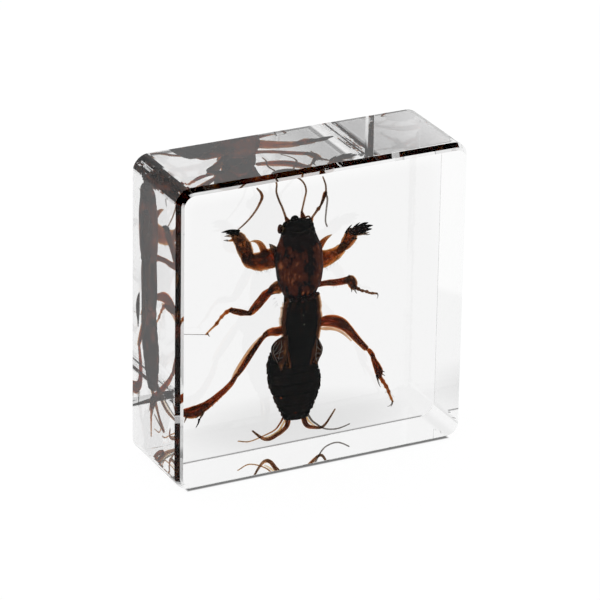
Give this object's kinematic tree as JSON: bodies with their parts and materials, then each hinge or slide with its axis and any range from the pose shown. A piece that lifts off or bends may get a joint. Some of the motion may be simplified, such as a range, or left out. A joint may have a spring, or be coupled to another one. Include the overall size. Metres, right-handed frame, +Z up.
{
  "type": "insect in resin block",
  "caption": "Mole cricket specimen with spread legs, cast upright in a clear square resin block with bevelled rims and rounded corners.",
  "frame": {"origin": "middle of the narrow lower face that the block stands on", "axes": "+X to the right along the big faces, +Y from the front big face to the back one, +Z up, towards the insect's head"},
  "size_m": [0.045, 0.0152, 0.0454],
  "materials": {
    "cuticle": "dry dark brown insect cuticle, translucent amber at thin edges",
    "clear_resin": "polished water-clear casting resin"
  },
  "bodies": {
    "root": {"mole_cricket": "cuticle", "resin_front_half": "clear_resin", "resin_back_half": "clear_resin"}
  },
  "joints": []
}
